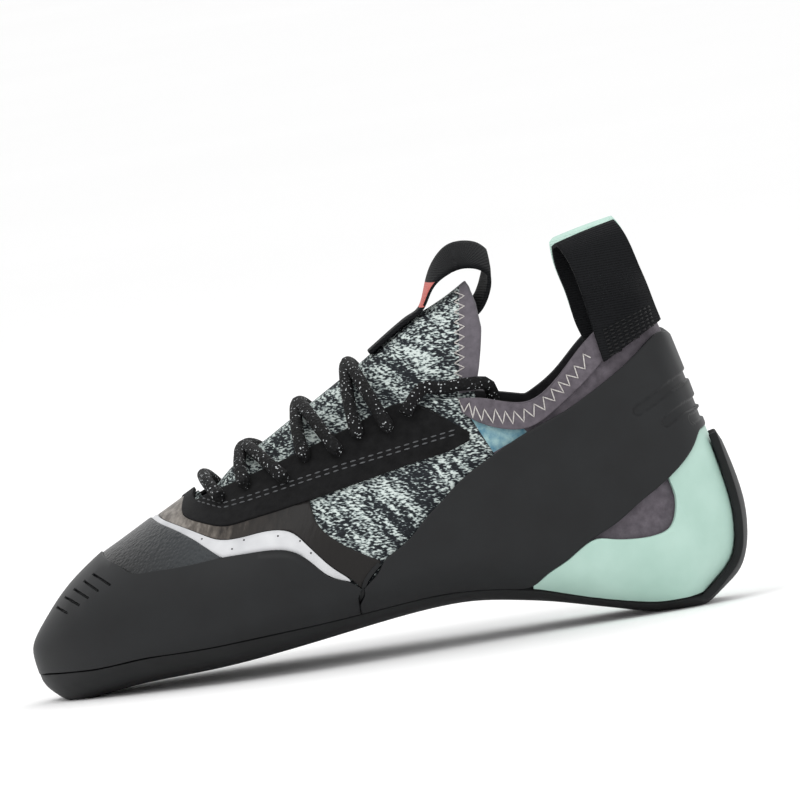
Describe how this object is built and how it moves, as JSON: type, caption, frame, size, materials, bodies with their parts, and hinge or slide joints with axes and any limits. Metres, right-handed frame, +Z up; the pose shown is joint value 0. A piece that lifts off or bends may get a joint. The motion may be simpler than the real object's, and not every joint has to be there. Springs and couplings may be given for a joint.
{
  "type": "climbing shoe",
  "caption": "Laced climbing shoe with a rubber toe and heel rand, knit tongue, pull loops and a thin arched sole, for the foot of a rock climber.",
  "frame": {"origin": "the flat spot under the heel, where the outsole rests on the floor", "axes": "+Z up, -X towards the toe, +Y towards the big-toe side"},
  "size_m": [0.222, 0.0814, 0.1204],
  "materials": {
    "outsole": "matt rubber",
    "insole": "matt lining board",
    "upper": "heathered knit",
    "tongue": "heathered knit",
    "toe_rand": "matt rubber",
    "toe_patch": "grained rubber",
    "vamp_band": "pale coated strip",
    "vamp_film": "coated fabric",
    "eyestay": "microfibre suede",
    "heel_rand": "matt rubber",
    "heel_cup": "satin rubber",
    "collar_cuff": "microfibre",
    "heel_loop_outer": "webbing",
    "heel_loop_inner": "webbing",
    "tongue_loop": "webbing",
    "lace_bar": "woven cord",
    "lace_crossing_1": "woven cord",
    "lace_crossing_2": "woven cord",
    "lace_crossing_3": "woven cord",
    "lace_end": "woven cord"
  },
  "bodies": {
    "root": {"outsole": "outsole", "insole": "insole", "upper": "upper", "tongue": "tongue", "toe_rand": "toe_rand", "toe_patch": "toe_patch", "vamp_band": "vamp_band", "vamp_film": "vamp_film", "eyestay": "eyestay", "heel_rand": "heel_rand", "heel_cup": "heel_cup", "collar_cuff": "collar_cuff", "heel_loop_outer": "heel_loop_outer", "heel_loop_inner": "heel_loop_inner", "tongue_loop": "tongue_loop", "lace_bar": "lace_bar", "lace_crossing_1": "lace_crossing_1", "lace_crossing_2": "lace_crossing_2", "lace_crossing_3": "lace_crossing_3", "lace_end": "lace_end"}
  },
  "joints": []
}
